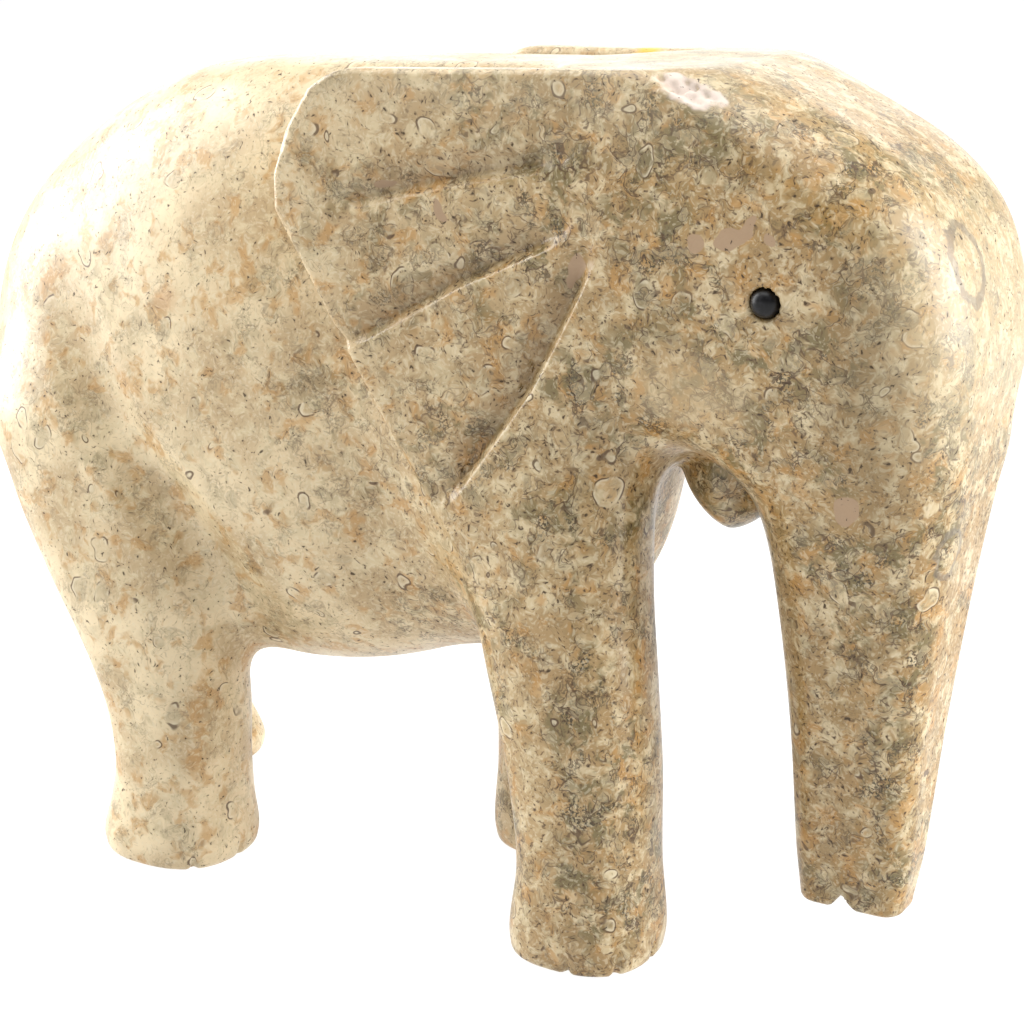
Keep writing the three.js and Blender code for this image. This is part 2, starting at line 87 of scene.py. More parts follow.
# Legs by height: centre x, centre y, half length, half width.
FRONT_RIGHT = (
    (0, 33, -26, 14.8, 14.6),
    (6, 33.2, -26, 15.4, 15.3),
    (20, 33.4, -26, 14.1, 14.4),
    (40, 32, -26, 15.2, 14.6),
    (58, 29, -25.5, 16.8, 14.6),
    (76, 25, -24, 18.8, 14.8),
    (98, 18, -22, 25, 15.6),
    (116, 11, -18.5, 31, 15),
    (144, 10, -14, 22, 11),
)
FRONT_LEFT = (
    (0, 2, 21.2, 14.6, 14.4),
    (6, 2, 21.2, 15.4, 15.2),
    (20, 1.6, 21.4, 14.3, 14.4),
    (40, 1.4, 21.8, 14.8, 14.4),
    (58, 1, 22.2, 15.8, 14.5),
    (76, 1, 22.5, 17.6, 14.8),
    (98, 5, 22, 24.5, 15.6),
    (116, 9, 18.5, 31, 15),
    (144, 10, 14, 22, 11),
)
REAR_RIGHT = (
    (0, -72, -26, 15.8, 15),
    (5, -72, -26, 16.8, 15.6),
    (13, -71.3, -26, 15.2, 14.8),
    (22, -70.7, -26, 14.4, 14.2),
    (34, -71.8, -25.5, 15.6, 14.4),
    (46, -75, -25, 18, 15),
    (64, -81.5, -23.5, 23.6, 16),
    (82, -87, -21, 28.6, 17.5),
    (104, -89.5, -18, 31.5, 17.4),
    (130, -76, -12, 14, 9),
)
REAR_LEFT = (
    (0, -105, 21.5, 15.8, 15),
    (5, -105, 21.5, 16.8, 15.8),
    (13, -107.5, 21.8, 14.6, 14.8),
    (22, -110, 22, 13.8, 14.2),
    (34, -111, 22, 14.4, 14.4),
    (46, -109.5, 22, 16.4, 15),
    (64, -103, 22, 21, 16),
    (82, -95, 20, 28, 17.5),
    (104, -88, 18, 28, 17),
    (130, -76, 12, 14, 9),
)
LEG_SQUARENESS = 2.5

# How far the pieces of the form run into one another.
BARREL_JOINED_BY = ((RUMP, 5), (CHEST, 12), (NECK, 12), (SPINE, 5))
FACE_BLEND = 7
JAW_BLEND = 3
LEG_BLEND = 8
TAIL_BLEND = 4

# Ear flaps: outline in x and z, outer face, thickness and polished edge.
EAR = ((46, 190), (-13, 190), (-16, 178.5), (-23, 174), (-28, 166), (-31, 157), (-31, 150),
       (-16, 123.8), (-6, 107.2), (10, 84), (32, 104), (44, 140))
EAR_ROOT = (46, 33.4)
EAR_FLARE = 0.1
EAR_SINK, EAR_SINK_FROM = 0.016, 30.0  # the root dives into the head from this x on
EAR_THICKNESS = 7.5
EAR_EDGE = 1.2
EAR_BLEND = 2.5

# V-cut grooves: path in x and z, width of the long and the short wall, depth.
GROOVES = (
    (((-17, 152), (6, 158), (30, 162.5)), 4.4, 2.2, 2.4),
    (((-15, 125), (8, 138.5), (30.5, 149)), 4.6, 2.2, 2.7),
    (((7, 96), (23, 119), (36, 144.5)), 5.0, 2.2, 3.1),
)
GROOVE_ENDS = (0.12, 0.35)  # share of its length over which a groove runs out, and of its depth left there
GROOVE_BOTTOM = 0.12  # rounding of the bottom, as a share of the depth

# Soft crease between haunch and flank: path in x and z with its depth, half width, fade by y.
CREASE = ((-94, 124, 0.7), (-80, 101, 3.3), (-67, 86, 3.7), (-57, 73, 3.2), (-48, 59, 1.1))
CREASE_HALF = 11.0
CREASE_FADE = (12.0, 24.0)

# Tail in low relief on the rump: points and radii.
TAIL = ((-129, 0, 122, 3), (-132.5, 0, 110, 5), (-130, 0, 92, 4.4), (-123, 0, 76, 3.6),
        (-117, 0, 66, 4.4))

# Toe notches: angle from the front of the foot.
FRONT_TOES = (-80, -40, 0, 40, 80)
REAR_TOES = {"right": (0, -44), "left": (0, 44)}
TOE_HALF_WIDTH = 1.3
TOE_DEPTH = 1.8
TOE_HEIGHT = 5.0

TIP_SLOT = (80.6, 2.7, 3.6)  # middle x, half width and height of the notch across the trunk's tip
TIP_SLOT_EDGE = 0.6

# Shallow break in the right top edge of the head: middle, half sizes and fall along x.
CHIP = ((57.5, -33.6, 178.9), (11.5, 5, 5), 0.2)
CHIP_EDGE = 0.5

EYE = (71.8, 139.2)  # x and z of both beads
EYE_RADIUS = 2.8
EYE_SUNK = 1.1
EYE_CLEARANCE = 0.3
SOCKET_EDGE = 0.3

# The carver's frame to the row frame in mm: the frame's own eye beads tell where it lies.
EYE_BOXES = [np.array(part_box(name)) / MM for name in ("right_eye", "left_eye")]
FROM_CARVING = np.mean(EYE_BOXES, axis=(0, 1)) - np.array([EYE[0], 0.0, EYE[1]])

# Mesh of the carving.
CELL = 2.4
GRID_SHIFT = 0.35
ROOM = ((-150, 124), (-58, 58), (-8, 192))
REFINE_ROUNDS = 2
CHORD_TOLERANCE = 0.022
SHORTEST_EDGE = 0.5
SIDES = (-1, 1)

# Colours of the stone.
PALE_GROUND = "#e3cfa9"
TAN_GROUND = "#a48656"
SAND = "#9c7d50"
CREAM = "#d4c29c"
CHALK = "#ddd0b2"
RUST = "#b5843f"
GREY_GREEN = "#71643d"
DARK_OLIVE = "#3b3119"
BROWN = "#5a4022"
SHELL_BROWN = "#4f3519"
SHELL_GREY = "#7a6e50"
RING_GREY = "#6b6258"
RESIN = "#a68a6c"
BROKEN = "#e2d2c6"
PIT_BROWN = "#3a2b17"
BEAD_BLACK = "#08080a"
BEAD_GREY = "#17161a"

# Cut shells: spacing, radii, line, share of the places that hold one, and seed.
SHELL_FAMILIES = (
    (8.5, (0.8, 3.3), 0.3, 0.6, 71.0),
)

# Uneven shell pieces: lump size, level that bounds them, outline, fill, shares of fill and
# outline, and how rare they are.
FRAGMENTS = (
    (9.0, 0.56, 0.008, GREY_GREEN, 0.2, 0.8, 0.4),
    (5.0, 0.555, 0.014, CREAM, 0.28, 0.75, 0.46),
    (2.6, 0.57, 0.028, SHELL_GREY, 0.3, 0.7, 0.48),
)

# Noises that the stone's patterns are read from: the places that they are read at, a shift that keeps
# two of them from falling together, size of the lumps in mm, detail and roughness. The stone's own
# grain is finer than a pixel, so the grain is drawn as coarse as it needs to show.
NOISES = (
    ("drift", "lobed", None, 20, 1.0, 0.55),
    ("blotches", "curled", None, 4.0, 3.0, 0.62),
    ("rusting", "curled", (40, 0, 0), 5.5, 2.0, 0.65),
    ("clouds", "lobed", (0, 70, 0), 16, 1.0, 0.6),
    ("mossing", "curled", (0, 0, 90), 4.6, 3.0, 0.68),
    ("patches", "place", (15, 15, 0), 4.4, 1.0, 0.55),
    ("speckling", "place", None, 0.55, 1.0, 0.7),
    ("flecking", "curled", None, 0.9, 1.0, 0.7),
    ("grain", "place", None, 0.7, 1.0, 0.6),
    ("swell", "place", None, 14, 0.0, 0.55),
)

# Masks: what each is read from, the two levels that it eases between, and its values at them.
MASKS = (
    ("bed", "along", -60, 78, 0, 1),
    ("marked", "bed", 0, 1, 0.35, 1),
    ("greening", "bed", 0, 1, 0.3, 1),
    ("forehead", "along", 98, 122, 0, 1),
    ("over_trunk", "high", 95, 130, 0, 1),
    ("sawn_top", "high", 160, 182, 0, 0.6),
    ("sand", "drift", 0.38, 0.64, 0, 1),
    ("dull", "drift", 0.35, 0.7, 0.28, 0.42),
    ("cream", "blotches", 0.46, 0.64, 0, 1),
    ("rust", "rusting", 0.52, 0.66, 0, 1),
    ("cloud", "clouds", 0.42, 0.62, 0.15, 1),
    ("busy", "clouds", 0.38, 0.56, 0.3, 1),
    ("moss", "mossing", 0.45, 0.62, 0, 1),
    ("cluster", "patches", 0.5, 0.62, 0, 1),
    ("whole", "patches", 0.4, 0.5, 1, 0.1),
    ("dots", "speckling", 0.46, 0.6, 0, 1),
    ("fleck", "flecking", 0.58, 0.68, 0, 1),
    ("chalk", "flecking", 0.34, 0.44, 1, 0),
    ("pit", "flecking", 0.7, 0.74, 0, 1),
)

# Masks made of two others. The front of the head and the sawn top are painted paler, a painted highlight for
# the sheen of the polish.
JOINED = (
    ("green_cloud", "MULTIPLY", "cloud", "greening"),
    ("rich", "MULTIPLY", "busy", "marked"),
    ("painted_sheen_front", "MULTIPLY", "forehead", "over_trunk"),
    ("painted_sheen", "MAXIMUM", "painted_sheen_front", "sawn_top"),
)

# Coats of colour over the ground in the order in which they lie: share, and masks that they keep to.
COATS = (
    (SAND, 0.6, "sand"),
    (CREAM, 0.8, "cream"),
    (RUST, 0.6, "rust"),
    (GREY_GREEN, 0.9, "moss", "green_cloud"),
    (DARK_OLIVE, 0.95, "cluster", "dots", "green_cloud"),
    (BROWN, 0.75, "fleck", "marked"),
    (CHALK, 0.35, "chalk"),
)

SHELL_FLATNESS = 1.6  # how much flatter than a ball, as a share added to the square of the way along
STONE_IOR = 1.5
GLASS_IOR = 1.52
HAZE_MM = 0.8  # hand marks on the beads

# Sockets of the mix node that take and give colours, and the settings of an eased map range.
MIX_FACTOR, MIX_UNDER, MIX_OVER, MIX_COLOUR = 0, 6, 7, 2
EASED = {"interpolation_type": "SMOOTHSTEP"}

# Centre, half sizes and lean of single marks.
FILLED = (
    ((65.5, -35, 150.6), (4.2, 3, 1.6), 18),
    ((68.6, -35, 152.8), (2.6, 3, 1.2), 48),
    ((58.4, -35, 149.3), (1.3, 3, 1.4), 0),
    ((73.2, -35, 151), (1.5, 3, 1.2), 0),
    ((85.3, -24.6, 100.4), (2.6, 3, 3.6), -10),
    ((33, -35, 141.5), (1.6, 3, 4.5), -25),
    ((5.7, -37.4, 151.9), (1.0, 3, 2.6), 30),
    ((-6.7, -37.5, 155.9), (2.6, 3, 0.9), 12),
)
BIG_SHELLS = (
    ((102.5, -12.5, 146.2), (7, 6.0, 7.5), 0, 0.2),
    ((101.1, -10.5, 90.4), (4, 4.0, 5), 0, 0.2),
)
STAINS_AND_PAINTED_SHADE = (
    # The first entry is painted shade: a dark olive band down the side-to-front corner of the head and
    # trunk, where shade falls.
    ((90, -27, 122), (13, 15, 44), 4, "#66552f", 0.3),
    ((57, -33, 120), (19, 9, 12), -15, "#cdb389", 0.42),
    ((16.4, 30, 178.3), (4, 5, 3), 0, "#dfb23f", 0.95),
    ((-63.4, -35.4, 128.1), (5, 4, 4), 20, "#c99560", 0.4),
)

# Camera of the photograph, in metres and degrees.
LENS, SENSOR = 80.16, 36
CAMERA_PLACE = (0.2513, -0.4072, 0.212)
CAMERA_TILT, CAMERA_TURN = 74.6, 30

# Place, size and watts of the softboxes, and the point that they are aimed at.
LIT_POINT = (0, 0, 0.1)
SOFTBOXES = (
    ("overhead", (-0.05, 0, 0.95), (1.1, 0.9), 9),
    ("left_softbox", (-0.9, -0.15, 0.45), (0.7, 0.9), 15),
    ("right_softbox", (0.88, 0.32, 0.35), (0.7, 0.9), 14.5),
    ("back_softbox", (-0.55, 0.95, 0.55), (1.6, 0.6), 5),
)


def smooth_min(a, b, k):
    """Smaller of two distances, with their meeting rounded over k."""
    h = np.maximum(k - np.abs(a - b), 0) / k
    return np.minimum(a, b) - h * h * k / 4


def smooth_max(a, b, k):
    """Larger of two distances, with their meeting rounded over k."""
    return -smooth_min(-a, -b, k)


def smooth_step(low, high, value):
    """0 below low, 1 above high and eased between."""
    t = np.clip((value - low) / (high - low), 0, 1)
    return t * t * (3 - 2 * t)


def eased(table):
    """Fine heights and columns of a table, eased between its stations."""
    rows = np.array(table, float)
    at, values = rows[:, 0], rows[:, 1:]
    last = len(at) - 1
    before = np.maximum(np.arange(len(at)) - 1, 0)
    after = np.minimum(np.arange(len(at)) + 1, last)
    slope = (values[after] - values[before]) / (at[after] - at[before])[:, None]
    t = np.arange(at[0], at[-1] + 0.25, 0.25)
    i = np.clip(np.searchsorted(at, t, side="right") - 1, 0, last - 1)
    span = (at[i + 1] - at[i])[:, None]
    s = np.clip((t[:, None] - at[i, None]) / span, 0, 1)
    a, b, slope_a, slope_b = values[i], values[i + 1], slope[i] * span, slope[i + 1] * span
    cubic = 2 * (a - b) + slope_a + slope_b
    square = 3 * (b - a) - 2 * slope_a - slope_b
    return t, ((cubic * s + square) * s + slope_a) * s + a


def at_height(table, z):
    """Columns of an eased table at the heights z."""
    heights, columns = table
    return [np.interp(z, heights, column) for column in columns.T]


FACE_EASED = eased(FACE)
LEGS_EASED = [eased(table) for table in (FRONT_RIGHT, FRONT_LEFT, REAR_RIGHT, REAR_LEFT)]


def block(part, p):
    """Distance to a swollen block."""
    centre, half, along, across = part
    away = np.abs(p - np.array(centre, float))
    d = away / np.array(half, float)
    ring = (d[:, 1] ** across + d[:, 2] ** across) ** (1 / across)
    size = (d[:, 0] ** along + ring ** along) ** (1 / along)
    slope = away / np.array(half, float) ** 2
    steep = np.linalg.norm(slope, axis=1) / np.maximum(np.linalg.norm(d, axis=1), 1e-6)
    return (size - 1) / np.maximum(steep, 1 / half[0])


def leg(table, p):
    """Distance to one leg, a rounded square post with its sizes by height."""
    cx, cy, a, b = at_height(table, p[:, 2])
    n = LEG_SQUARENESS
    size = ((np.abs(p[:, 0] - cx) / a) ** n + (np.abs(p[:, 1] - cy) / b) ** n) ** (1 / n)
    return np.maximum((size - 1) * np.minimum(a, b), p[:, 2] - table[0][-1])


def face(p):
    """Distance to the head and trunk, cut flat at the tip with a notch across it."""
    rear, front, half, corner = at_height(FACE_EASED, p[:, 2])
    qx = np.abs(p[:, 0] - (rear + front) / 2) - ((front - rear) / 2 - corner)
    qy = np.abs(p[:, 1]) - (half - corner)
    outside = np.hypot(np.maximum(qx, 0), np.maximum(qy, 0))
    side = (outside + np.minimum(np.maximum(qx, qy), 0) - corner) * 0.9
    side = smooth_max(side, TIP_Z - p[:, 2], TIP_EDGE)
    middle, wide, high = TIP_SLOT
    roof = (TIP_Z + high - p[:, 2]) / high - np.abs(p[:, 0] - middle) / wide
    notch = -roof / math.hypot(1 / high, 1 / wide)
    return smooth_max(side, -notch, TIP_SLOT_EDGE)


def rod(a, b, p):
    """Distance to a round rod between two balls, each given by its middle and radius."""
    a, b = np.array(a, float), np.array(b, float)
    run = b[:3] - a[:3]
    s = np.clip((p - a[:3]) @ run / (run @ run), 0, 1)
    return np.linalg.norm(p - a[:3] - s[:, None] * run, axis=1) - a[3] - s * (b[3] - a[3])


def along_path(path, p):
    """Nearest place of a path in x and z: how far aside (left is positive), how far along, in mm."""
    best = np.full(len(p), 1e9)
    aside = np.zeros(len(p))
    along = np.zeros(len(p))
    run_so_far = 0.0
    for (ax, az), (bx, bz) in zip(path, path[1:]):
        dx, dz = bx - ax, bz - az
        length = math.hypot(dx, dz)
        s = np.clip(((p[:, 0] - ax) * dx + (p[:, 2] - az) * dz) / length**2, 0, 1)
        ex, ez = p[:, 0] - ax - s * dx, p[:, 2] - az - s * dz
        away = np.hypot(ex, ez)
        side = np.sign(dx * ez - dz * ex)
        nearer = away < best
        best = np.where(nearer, away, best)
        aside = np.where(nearer, away * side, aside)
        along = np.where(nearer, run_so_far + s * length, along)
        run_so_far += length
    return aside, along, run_so_far


def crease(p):
    """Depth of the soft crease between haunch and flank, on both sides."""
    depth = np.zeros(len(p))
    for (ax, az, start), (bx, bz, end) in zip(CREASE, CREASE[1:]):
        dx, dz = bx - ax, bz - az
        s = np.clip(((p[:, 0] - ax) * dx + (p[:, 2] - az) * dz) / (dx * dx + dz * dz), 0, 1)
        away = np.hypot(p[:, 0] - ax - s * dx, p[:, 2] - az - s * dz) / CREASE_HALF
        depth = np.maximum(depth, (start + s * (end - start)) * np.maximum(1 - away**2, 0) ** 2)
    inner, outer = CREASE_FADE
    return depth * np.clip((np.abs(p[:, 1]) - inner) / (outer - inner), 0, 1)


def polygon(outline, x, z):
    """Signed distance to a closed outline in x and z, negative inside."""
    inside = np.zeros(len(x), bool)
    nearest = np.full(len(x), 1e9)
    for (ax, az), (bx, bz) in zip(outline, outline[1:] + outline[:1]):
        dx, dz = bx - ax, bz - az
        s = np.clip(((x - ax) * dx + (z - az) * dz) / (dx * dx + dz * dz), 0, 1)
        nearest = np.minimum(nearest, np.hypot(x - ax - s * dx, z - az - s * dz))
        if az != bz:
            crosses = ((az > z) != (bz > z)) & (x < (bx - ax) * (z - az) / (bz - az) + ax)
            inside ^= crosses
    return np.where(inside, -nearest, nearest)


def ear(p):
    """Distance to both ear flaps, slabs that stand further out towards the free edge."""
    outer = EAR_ROOT[1] + EAR_FLARE * (EAR_ROOT[0] - p[:, 0])
    outer = outer - EAR_SINK * np.maximum(p[:, 0] - EAR_SINK_FROM, 0) ** 2
    edge = polygon(EAR, p[:, 0], p[:, 2]) + EAR_EDGE
    depth = np.abs(np.abs(p[:, 1]) - outer + EAR_THICKNESS / 2) - EAR_THICKNESS / 2 + EAR_EDGE
    beyond = np.hypot(np.maximum(edge, 0), np.maximum(depth, 0))
    return beyond + np.minimum(np.maximum(edge, depth), 0) - EAR_EDGE


def groove_depth(p):
    """Depth of the V-cut grooves in the ears."""
    depth = np.zeros(len(p))
    for path, long, short, deep in GROOVES:
        aside, along, length = along_path(path, p)
        width = np.where(aside > 0, long, short)
        run_out, left = GROOVE_ENDS
        ends = np.minimum(along, length - along) / (run_out * length)
        fade = left + (1 - left) * smooth_step(0, 1, ends)
        wall = smooth_max(1 - np.abs(aside) / width, 0 * aside, GROOVE_BOTTOM)
        depth = np.maximum(depth, deep * fade * wall)
    return depth


def groove_shading(p):
    """Strength of the painted shade in the grooves: 0 on open skin, 1 in the bottom of the grooves, reaching
    further up the long wall.
    """
    depth = np.zeros(len(p))
    for path, long, short, _ in GROOVES:
        aside, along, length = along_path(path, p)
        wall = np.where(aside > 0, 1 - aside / (1.3 * long), 1 + aside / (0.35 * short))
        ends = smooth_step(0, 0.2 * length, np.minimum(along, length - along))
        depth = np.maximum(depth, np.clip(wall, 0, 1) * ends)
    return np.where(np.abs(p[:, 1]) > 20, depth, 0)


def toe_depth(p):
    """Depth of the notches between the toes."""
    depth = np.zeros(len(p))
    angles = (FRONT_TOES, FRONT_TOES, REAR_TOES["right"], REAR_TOES["left"])
    tables = (FRONT_RIGHT, FRONT_LEFT, REAR_RIGHT, REAR_LEFT)
    for table, turns in zip(tables, angles):
        _, cx, cy, half, _ = table[1]
        for turn in turns:
            c, s = math.cos(math.radians(turn)), math.sin(math.radians(turn))
            ahead = (p[:, 0] - cx) * c + (p[:, 1] - cy) * s
            aside = np.abs((p[:, 1] - cy) * c - (p[:, 0] - cx) * s)
            rise = np.clip(1 - p[:, 2] / TOE_HEIGHT, 0, 1)
            wall = np.maximum(1 - aside / (TOE_HALF_WIDTH * (0.4 + 0.6 * rise)), 0)
            here = (ahead > half / 2) & (ahead < half * 1.6)
            depth = np.maximum(depth, np.where(here, TOE_DEPTH * wall * rise**0.5, 0))
    return depth


def chip(p):
    """Distance to the broken-out lump, with an uneven bottom."""
    centre, half, fall = CHIP
    away = p - np.array(centre, float)
    away[:, 2] += fall * away[:, 0]
    uneven = np.sin(1.1 * p[:, 0] + 0.7 * p[:, 2]) * np.sin(1.9 * p[:, 1] - 0.5 * p[:, 0])
    fine = np.sin(2.9 * p[:, 0] - 1.3 * p[:, 1]) * np.sin(2.3 * p[:, 2] + 1.1 * p[:, 0])
    size = np.linalg.norm(away / np.array(half, float), axis=1)
    return (size - 1 + 0.09 * uneven + 0.05 * fine) * half[1]


def rounded_form(p):
    """Distance to the body, head, trunk, legs and tail before any detail."""
    d = block(BARREL, p)
    for part, blend in BARREL_JOINED_BY:
        d = smooth_min(d, block(part, p), blend)
    d = smooth_min(d, face(p), FACE_BLEND)
    d = smooth_min(d, block(JAW, p), JAW_BLEND)
    for table in LEGS_EASED:
        d = smooth_min(d, leg(table, p), LEG_BLEND)
    tail = np.min([rod(a, b, p) for a, b in zip(TAIL, TAIL[1:])], axis=0)
    return smooth_min(d, tail, TAIL_BLEND) + crease(p)


def surface_y(x, z, side):
    """Distance from the middle plane to the skin at one x and z."""
    y = np.arange(0, ROOM[1][1], 0.05)
    line = np.stack([np.full_like(y, x), side * y, np.full_like(y, z)], axis=1)
    return y[rounded_form(line) < 0].max()


EYE_CENTRES = {side: np.array([EYE[0], side * (surface_y(*EYE, side) - EYE_SUNK), EYE[1]])
               for side in SIDES}


def carving(p):
    """Distance to the finished carving, with its flat cuts, ears, grooves, toes and sockets."""
    d = smooth_min(rounded_form(p), ear(p), EAR_BLEND)
    d = d + groove_depth(p) + toe_depth(p)
    d = smooth_max(d, -p[:, 2], SOLE_EDGE)
    edge = TOP_EDGE + (BROW_EDGE - TOP_EDGE) * smooth_step(BROW_FROM, BROW_TO, p[:, 0])
    d = smooth_max(d, p[:, 2] - TOP_Z - TOP_RISE * p[:, 0], edge)
    d = smooth_max(d, -chip(p), CHIP_EDGE)
    for centre in EYE_CENTRES.values():
        socket = np.linalg.norm(p - centre, axis=1) - EYE_RADIUS - EYE_CLEARANCE
        d = smooth_max(d, -socket, SOCKET_EDGE)
    return d


def slope_of(p, e=0.04):
    """Slope of the distance to the carving, which points out of the skin."""
    steps = np.eye(3) * e
    return np.stack([(carving(p + s) - carving(p - s)) / (2 * e) for s in steps], axis=1)


def settled(p, rounds, reach):
    """Points moved onto the skin of the carving."""
    for _ in range(rounds):
        slope = slope_of(p)
        steep = np.maximum((slope**2).sum(axis=1), 0.3)
        move = np.clip(carving(p) / steep, -reach, reach)
        p = p - move[:, None] * slope
    return p


def skin():
    """Points and triangles over the carving: one point in each cell that the skin crosses."""
    axes = [np.arange(low + GRID_SHIFT, high, CELL) for low, high in ROOM]
    shape = tuple(len(a) for a in axes)
    grid = np.stack(np.meshgrid(*axes, indexing="ij"), axis=-1).reshape(-1, 3)
    value = carving(grid).reshape(shape)
    corners = np.array([(i, j, k) for i in (0, 1) for j in (0, 1) for k in (0, 1)])
    edges = [(a, b) for a in range(8) for b in range(a + 1, 8)
             if np.abs(corners[a] - corners[b]).sum() == 1]
    cut = tuple(n - 1 for n in shape)
    at_corner = [value[i:i + cut[0], j:j + cut[1], k:k + cut[2]] for i, j, k in corners]
    total = np.zeros(cut + (3,))
    count = np.zeros(cut)
    for a, b in edges:
        va, vb = at_corner[a], at_corner[b]
        crossed = (va < 0) != (vb < 0)
        s = np.where(crossed, va / np.where(crossed, va - vb, 1), 0)
        place = corners[a] + s[..., None] * (corners[b] - corners[a])
        total += place * crossed[..., None]
        count += crossed
    used = count > 0
    number = np.full(cut, -1)
    number[used] = np.arange(used.sum())
    base = np.stack([a[i] for a, i in zip(axes, np.nonzero(used))], axis=1)
    points = base + total[used] / count[used][:, None] * CELL
    points = settled(points, 3, CELL / 2)
    quads = []
    for axis in range(3):
        u, v = (axis + 1) % 3, (axis + 2) % 3
        start = [slice(1, -1)] * 3
        start[axis] = slice(0, -1)
        after = [slice(1, -1)] * 3
        after[axis] = slice(1, None)
        va, vb = value[tuple(start)], value[tuple(after)]
        crossed = np.argwhere((va < 0) != (vb < 0))
        rising = (va < 0)[tuple(crossed.T)]
        first = crossed + 1
        first[:, axis] -= 1
        ring = []
        for du, dv in ((1, 1), (0, 1), (0, 0), (1, 0)):
            c = first.copy()
            c[:, u] -= du
            c[:, v] -= dv
            ring.append(number[tuple(c.T)])
        ring = np.stack(ring, axis=1)
        quads.append(np.where(rising[:, None], ring, ring[:, ::-1]))
    quads = np.concatenate(quads)
    quads = quads[(quads >= 0).all(axis=1)]
    a, b, c, d = quads.T
    short = (np.linalg.norm(points[a] - points[c], axis=1)
             < np.linalg.norm(points[b] - points[d], axis=1))[:, None]
    one = np.where(short, np.stack([a, b, c], 1), np.stack([a, b, d], 1))
    two = np.where(short, np.stack([a, c, d], 1), np.stack([b, c, d], 1))
    return points, np.concatenate([one, two])


def evened(points, triangles, rounds):
    """Points moved halfway to the middle of their neighbours and back onto the skin."""
    pairs = np.concatenate([triangles[:, [0, 1]], triangles[:, [1, 2]], triangles[:, [2, 0]]])
    for _ in range(rounds):
        total = np.zeros_like(points)
        for k in range(3):
            total[:, k] = np.bincount(pairs[:, 0], points[pairs[:, 1], k], len(points))
        count = np.bincount(pairs[:, 0], minlength=len(points))
        mean = total / np.maximum(count, 1)[:, None]
        points = settled((points + mean) / 2, 1, CELL / 2)
    return points


def refined(points, triangles):
    """Splits the edges whose middle lies off the skin, and sets the new points on it."""
    size = len(points)
    sides = np.stack([np.sort(triangles[:, list(pair)], axis=1)
                      for pair in ((0, 1), (1, 2), (2, 0))], axis=1)
    code = sides[..., 0].astype(np.int64) * size + sides[..., 1]
    unique, edge_of = np.unique(code, return_inverse=True)
    edge_of = edge_of.reshape(-1, 3)
    ends = np.stack([unique // size, unique % size], axis=1)
    middle = points[ends].mean(axis=1)
    length = np.linalg.norm(points[ends[:, 0]] - points[ends[:, 1]], axis=1)
    split = (np.abs(carving(middle)) > CHORD_TOLERANCE) & (length > 2 * SHORTEST_EDGE)
    for _ in range(6):
        busy = split[edge_of].sum(axis=1) == 2
        if not busy.any():
            break
        split[edge_of[busy].ravel()] = True
    busy = split[edge_of].sum(axis=1) == 2
    split[edge_of[busy].ravel()] = True
    added = settled(middle[split], 2, CELL / 2)
    new_point = np.full(len(unique), -1)
    new_point[split] = size + np.arange(split.sum())
    mid = new_point[edge_of]
    marked = (mid >= 0).sum(axis=1)
    result = [triangles[marked == 0]]
    whole = marked == 3
    (a, b, c), (ab, bc, ca) = triangles[whole].T, mid[whole].T
    result += [np.stack(t, 1) for t in ((a, ab, ca), (ab, b, bc), (ca, bc, c), (ab, bc, ca))]
    for k in range(3):
        one = (marked == 1) & (mid[:, k] >= 0)
        a, b, c = (triangles[one, (k + n) % 3] for n in range(3))
        m = mid[one, k]
        result += [np.stack([a, m, c], 1), np.stack([m, b, c], 1)]
    two = marked == 2
    for k in range(3):
        pick = two & (mid[:, k] < 0)
        a, b, c = (triangles[pick, (k + n) % 3] for n in range(3))
        mb, mc = mid[pick, (k + 1) % 3], mid[pick, (k + 2) % 3]
        result += [np.stack([a, b, mb], 1), np.stack([a, mb, mc], 1), np.stack([mc, mb, c], 1)]
    return np.concatenate([points, added]), np.concatenate(result)


def new_object(name, points, faces, material):
    """Mesh object from points in mm in the carver's frame."""
    mesh = bpy.data.meshes.new(name)
    places = (np.asarray(points, float) + FROM_CARVING) * MM
    mesh.from_pydata(places.tolist(), [], [list(map(int, f)) for f in faces])
    mesh.update()
    mesh.polygons.foreach_set("use_smooth", [True] * len(mesh.polygons))
    mesh.materials.append(material)
    piece = bpy.data.objects.new(name, mesh)
    bpy.context.scene.collection.objects.link(piece)
    return piece


def linear(colour):
    """Linear colour from an sRGB hex value."""
    parts = [int(colour[i:i + 2], 16) / 255 for i in (1, 3, 5)]
    return [v / 12.92 if v <= 0.04045 else ((v + 0.055) / 1.055) ** 2.4 for v in parts] + [1.0]


def add_node(tree, kind, inputs=None, **settings):
    """Adds a node, with its settings and with its inputs set or linked."""
    node = tree.nodes.new(kind)
    for key, value in settings.items():
        setattr(node, key, value)
    for key, value in (inputs or {}).items():
        if isinstance(value, bpy.types.NodeSocket):
            tree.links.new(value, node.inputs[key])
        else:
            node.inputs[key].default_value = value
    return node


def coated(tree, ground, colour, share, *masks):
    """Ground with a coat of one colour over it, where all of the masks meet and as strong as its share."""
    strength = masks[0]
    for factor in masks[1:] + (share,):
        strength = add_node(tree, "ShaderNodeMath", {0: strength, 1: factor},
                            operation="MULTIPLY").outputs[0]
    inputs = {MIX_FACTOR: strength, MIX_UNDER: ground, MIX_OVER: colour}
    return add_node(tree, "ShaderNodeMix", inputs, data_type="RGBA").outputs[MIX_COLOUR]


